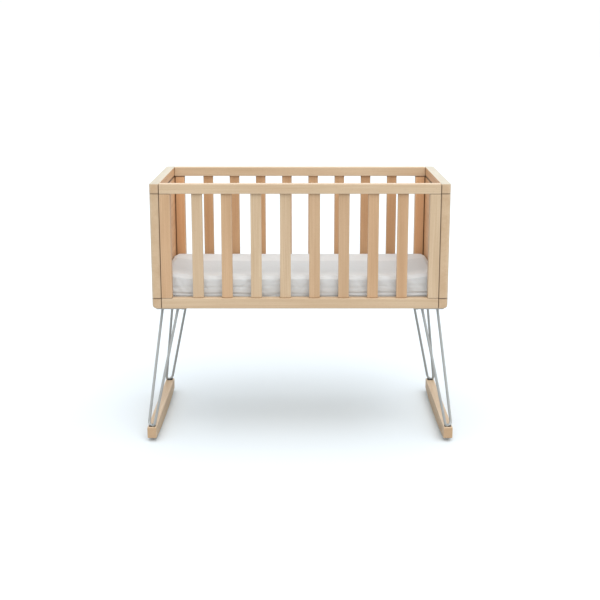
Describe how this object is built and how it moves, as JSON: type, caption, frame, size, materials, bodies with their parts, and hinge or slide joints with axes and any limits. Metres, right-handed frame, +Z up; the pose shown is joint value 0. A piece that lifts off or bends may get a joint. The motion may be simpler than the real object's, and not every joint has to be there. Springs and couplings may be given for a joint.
{
  "type": "rocking bassinet",
  "caption": "Slatted wooden bassinet with a fitted mattress, on steel hairpin legs that stand in two curved rockers.",
  "frame": {"origin": "on the floor midway between the two rockers, at the centre of the underside of the object's box", "axes": "+X along the length, from the left rocker to the right one; +Y across it, from the front side to the back; +Z up"},
  "size_m": [0.931, 0.52, 0.786],
  "materials": {
    "beech": "satin, clear oiled",
    "plywood": "sanded, unfinished",
    "mattress_cover": "matte white knitted cotton",
    "leg_steel": "light grey gloss powder coat",
    "zinc_steel": "zinc plated",
    "black_plastic": "matte black"
  },
  "bodies": {
    "frame": {"front_top_rail": "beech", "front_bottom_rail": "beech", "front_left_stile": "beech", "front_right_stile": "beech", "front_slat_1": "beech", "front_slat_2": "beech", "front_slat_3": "beech", "front_slat_4": "beech", "front_slat_5": "beech", "front_slat_6": "beech", "front_slat_7": "beech", "front_slat_8": "beech", "back_top_rail": "beech", "back_bottom_rail": "beech", "back_left_stile": "beech", "back_right_stile": "beech", "back_slat_1": "beech", "back_slat_2": "beech", "back_slat_3": "beech", "back_slat_4": "beech", "back_slat_5": "beech", "back_slat_6": "beech", "back_slat_7": "beech", "back_slat_8": "beech", "left_end_top_rail": "beech", "left_end_panel": "beech", "left_end_bottom_rail": "beech", "right_end_top_rail": "beech", "right_end_panel": "beech", "right_end_bottom_rail": "beech", "front_left_top_bolt": "zinc_steel", "front_left_bottom_bolt": "zinc_steel", "leg_screw_front_left_side": "zinc_steel", "leg_screw_front_left_end": "zinc_steel", "front_left_leg": "leg_steel", "front_left_leg_socket": "black_plastic", "back_left_top_bolt": "zinc_steel", "back_left_bottom_bolt": "zinc_steel", "leg_screw_back_left_side": "zinc_steel", "leg_screw_back_left_end": "zinc_steel", "back_left_leg": "leg_steel", "back_left_leg_socket": "black_plastic", "left_rocker": "beech", "front_right_top_bolt": "zinc_steel", "front_right_bottom_bolt": "zinc_steel", "leg_screw_front_right_side": "zinc_steel", "leg_screw_front_right_end": "zinc_steel", "front_right_leg": "leg_steel", "front_right_leg_socket": "black_plastic", "back_right_top_bolt": "zinc_steel", "back_right_bottom_bolt": "zinc_steel", "leg_screw_back_right_side": "zinc_steel", "leg_screw_back_right_end": "zinc_steel", "back_right_leg": "leg_steel", "back_right_leg_socket": "black_plastic", "right_rocker": "beech", "front_cleat": "beech", "back_cleat": "beech", "mattress_base": "plywood"},
    "mattress": {"mattress": "mattress_cover"}
  },
  "joints": [
    {"name": "mattress_lift", "type": "slide", "parent": "frame", "child": "mattress", "axis": [0, 0, 1], "range_m": [0, 0.4]}
  ]
}
